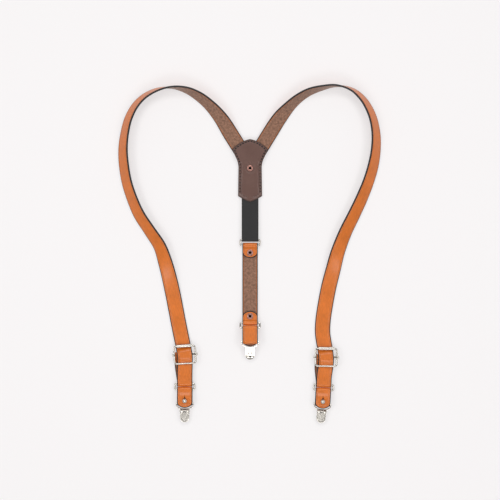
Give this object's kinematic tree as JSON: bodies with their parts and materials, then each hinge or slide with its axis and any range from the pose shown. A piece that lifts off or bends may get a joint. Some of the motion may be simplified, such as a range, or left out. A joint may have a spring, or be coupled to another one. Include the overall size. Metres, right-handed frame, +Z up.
{
  "type": "suspenders",
  "caption": "Y-back leather suspenders with buckle adjusters, an elastic back, sprung clips on buttoned tabs and rectangular rings, laid flat.",
  "frame": {"origin": "on the table, under the middle of the laid-out object's bounding box", "axes": "+X to the right of the layout, +Y from the clips up to the shoulder loops, +Z up off the table. The front straps lie grain side up and the back column lies flesh side up."},
  "size_m": [0.3944, 0.5064, 0.0232],
  "materials": {
    "leather_tan": "vegetable-tanned full-grain leather, satin, with black painted edges and a suede flesh side",
    "leather_chocolate": "dark brown smooth leather, satin",
    "elastic_black": "black woven elastic, matt",
    "nickel_plated_steel": "polished nickel plate",
    "copper_plated_steel": "antique copper plate, satin",
    "grip_plastic": "black plastic grip pad"
  },
  "bodies": {
    "root": {"yoke_outer_patch": "leather_tan", "yoke_inner_patch": "leather_chocolate", "yoke_rivet": "copper_plated_steel", "left_strap": "leather_tan", "right_strap": "leather_tan"},
    "elastic": {"elastic_loop": "elastic_black"},
    "back_upper_ring": {"back_upper_ring": "nickel_plated_steel"},
    "back_strap": {"back_strap": "leather_tan", "back_upper_rivet": "copper_plated_steel", "back_lower_rivet": "copper_plated_steel"},
    "back_lower_ring": {"back_lower_ring": "nickel_plated_steel"},
    "left_adjuster": {"left_adjuster_frame": "nickel_plated_steel", "left_adjuster_bar": "nickel_plated_steel", "left_strap_end_rivet": "nickel_plated_steel"},
    "left_roller": {"left_adjuster_roller": "nickel_plated_steel"},
    "left_strap_end": {"left_strap_end": "leather_tan"},
    "left_ring": {"left_ring": "nickel_plated_steel"},
    "left_tab": {"left_tab": "leather_tan", "left_stud": "nickel_plated_steel", "left_stud_screw": "nickel_plated_steel"},
    "left_clip": {"left_clip_body": "nickel_plated_steel", "left_clip_pad": "grip_plastic", "left_clip_pin": "nickel_plated_steel"},
    "left_lever": {"left_clip_lever": "nickel_plated_steel"},
    "left_jaw": {"left_clip_jaw": "nickel_plated_steel"},
    "right_adjuster": {"right_adjuster_frame": "nickel_plated_steel", "right_adjuster_bar": "nickel_plated_steel", "right_strap_end_rivet": "nickel_plated_steel"},
    "right_roller": {"right_adjuster_roller": "nickel_plated_steel"},
    "right_strap_end": {"right_strap_end": "leather_tan"},
    "right_ring": {"right_ring": "nickel_plated_steel"},
    "right_tab": {"right_tab": "leather_tan", "right_stud": "nickel_plated_steel", "right_stud_screw": "nickel_plated_steel"},
    "right_clip": {"right_clip_body": "nickel_plated_steel", "right_clip_pad": "grip_plastic", "right_clip_pin": "nickel_plated_steel"},
    "right_lever": {"right_clip_lever": "nickel_plated_steel"},
    "right_jaw": {"right_clip_jaw": "nickel_plated_steel"},
    "back_tab": {"back_tab": "leather_tan", "back_stud": "nickel_plated_steel", "back_stud_screw": "nickel_plated_steel"},
    "back_clip": {"back_clip_body": "nickel_plated_steel", "back_clip_pad": "grip_plastic", "back_clip_pin": "nickel_plated_steel"},
    "back_lever": {"back_clip_lever": "nickel_plated_steel"},
    "back_jaw": {"back_clip_jaw": "nickel_plated_steel"}
  },
  "joints": [
    {"name": "elastic_stretch", "type": "slide", "parent": "root", "child": "elastic", "axis": [0, -1, 0], "range_m": [0, 0.02], "stiffness_N_per_m": 500, "deforming": ["elastic_loop"]},
    {"name": "back_upper_ring_swing", "type": "hinge", "parent": "elastic", "child": "back_upper_ring", "pos_m": [0.00073, 0.02124, 0.00382], "axis": [-1, 0, 0], "range_deg": [-15, 20]},
    {"name": "back_strap_swing", "type": "hinge", "parent": "back_upper_ring", "child": "back_strap", "pos_m": [0.00073, 0.01274, 0.00382], "axis": [-1, 0, 0], "range_deg": [-15, 20]},
    {"name": "back_lower_ring_swing", "type": "hinge", "parent": "back_strap", "child": "back_lower_ring", "pos_m": [0.00073, -0.10296, 0.00652], "axis": [-1, 0, 0], "range_deg": [-25, 25]},
    {"name": "left_adjuster_slide", "type": "slide", "parent": "root", "child": "left_adjuster", "axis": [0.0063, 1, 0], "range_m": [-0.02, 0.04], "deforming": ["left_strap", "left_strap_end"]},
    {"name": "left_roller_spin", "type": "hinge", "parent": "left_adjuster", "child": "left_roller", "pos_m": [-0.09746, -0.13763, 0.00862], "axis": [0.9986, 0.0523, 0], "continuous": true},
    {"name": "left_strap_end_slide", "type": "slide", "parent": "left_adjuster", "child": "left_strap_end", "axis": [0.0063, 1, 0], "range_m": [-0.02, 0.01]},
    {"name": "left_ring_swing", "type": "hinge", "parent": "left_strap_end", "child": "left_ring", "pos_m": [-0.09707, -0.19446, 0.00442], "axis": [-1, 0, 0], "range_deg": [-25, 25]},
    {"name": "left_tab_swing", "type": "hinge", "parent": "left_ring", "child": "left_tab", "pos_m": [-0.09707, -0.20296, 0.00442], "axis": [-1, 0, 0], "range_deg": [-35, 35]},
    {"name": "left_clip_swing", "type": "hinge", "parent": "left_tab", "child": "left_clip", "pos_m": [-0.09707, -0.22316, 0.00402], "axis": [-1, 0.0087, 0.001], "range_deg": [-35, 30]},
    {"name": "left_lever_hinge", "type": "hinge", "parent": "left_clip", "child": "left_lever", "pos_m": [-0.09717, -0.23529, 0.00624], "axis": [-1, 0.0087, 0.001], "range_deg": [0, 100]},
    {"name": "left_jaw_hinge", "type": "hinge", "parent": "left_clip", "child": "left_jaw", "pos_m": [-0.09717, -0.23529, 0.00624], "axis": [-1, 0.0087, 0.001], "range_deg": [0, 15]},
    {"name": "right_adjuster_slide", "type": "slide", "parent": "root", "child": "right_adjuster", "axis": [0.0882, 0.9961, 0], "range_m": [-0.02, 0.04], "deforming": ["right_strap", "right_strap_end"]},
    {"name": "right_roller_spin", "type": "hinge", "parent": "right_adjuster", "child": "right_roller", "pos_m": [0.11486, -0.14151, 0.00862], "axis": [0.9998, -0.0175, 0], "continuous": true},
    {"name": "right_strap_end_slide", "type": "slide", "parent": "right_adjuster", "child": "right_strap_end", "axis": [0.0882, 0.9961, 0], "range_m": [-0.02, 0.01]},
    {"name": "right_ring_swing", "type": "hinge", "parent": "right_strap_end", "child": "right_ring", "pos_m": [0.11087, -0.19567, 0.00442], "axis": [-0.9984, 0.0558, 0], "range_deg": [-25, 25]},
    {"name": "right_tab_swing", "type": "hinge", "parent": "right_ring", "child": "right_tab", "pos_m": [0.11039, -0.20415, 0.00442], "axis": [-0.9984, 0.0558, 0], "range_deg": [-35, 35]},
    {"name": "right_clip_swing", "type": "hinge", "parent": "right_tab", "child": "right_clip", "pos_m": [0.10927, -0.22432, 0.00402], "axis": [-0.9942, 0.1077, 0.006], "range_deg": [-35, 30]},
    {"name": "right_lever_hinge", "type": "hinge", "parent": "right_clip", "child": "right_lever", "pos_m": [0.10797, -0.23639, 0.00624], "axis": [-0.9942, 0.1077, 0.006], "range_deg": [0, 100]},
    {"name": "right_jaw_hinge", "type": "hinge", "parent": "right_clip", "child": "right_jaw", "pos_m": [0.10797, -0.23639, 0.00624], "axis": [-0.9942, 0.1077, 0.006], "range_deg": [0, 15]},
    {"name": "back_tab_swing", "type": "hinge", "parent": "back_lower_ring", "child": "back_tab", "pos_m": [0.00073, -0.1106, 0.01024], "axis": [1, 0, 0], "range_deg": [-35, 35]},
    {"name": "back_clip_swing", "type": "hinge", "parent": "back_tab", "child": "back_clip", "pos_m": [0.00073, -0.13051, 0.01366], "axis": [1, 0, 0], "range_deg": [-40, 4]},
    {"name": "back_lever_hinge", "type": "hinge", "parent": "back_clip", "child": "back_lever", "pos_m": [0.00073, -0.14074, 0.00677], "axis": [1, 0, 0], "range_deg": [0, 100]},
    {"name": "back_jaw_hinge", "type": "hinge", "parent": "back_clip", "child": "back_jaw", "pos_m": [0.00073, -0.14074, 0.00677], "axis": [1, 0, 0], "range_deg": [0, 15]}
  ],
  "couplings": [
    {"joint": "left_strap_end_slide", "follows": "left_adjuster_slide", "ratio": -0.5},
    {"joint": "left_jaw_hinge", "follows": "left_lever_hinge", "ratio": 0.15},
    {"joint": "right_strap_end_slide", "follows": "right_adjuster_slide", "ratio": -0.5},
    {"joint": "right_jaw_hinge", "follows": "right_lever_hinge", "ratio": 0.15},
    {"joint": "back_jaw_hinge", "follows": "back_lever_hinge", "ratio": 0.15}
  ]
}
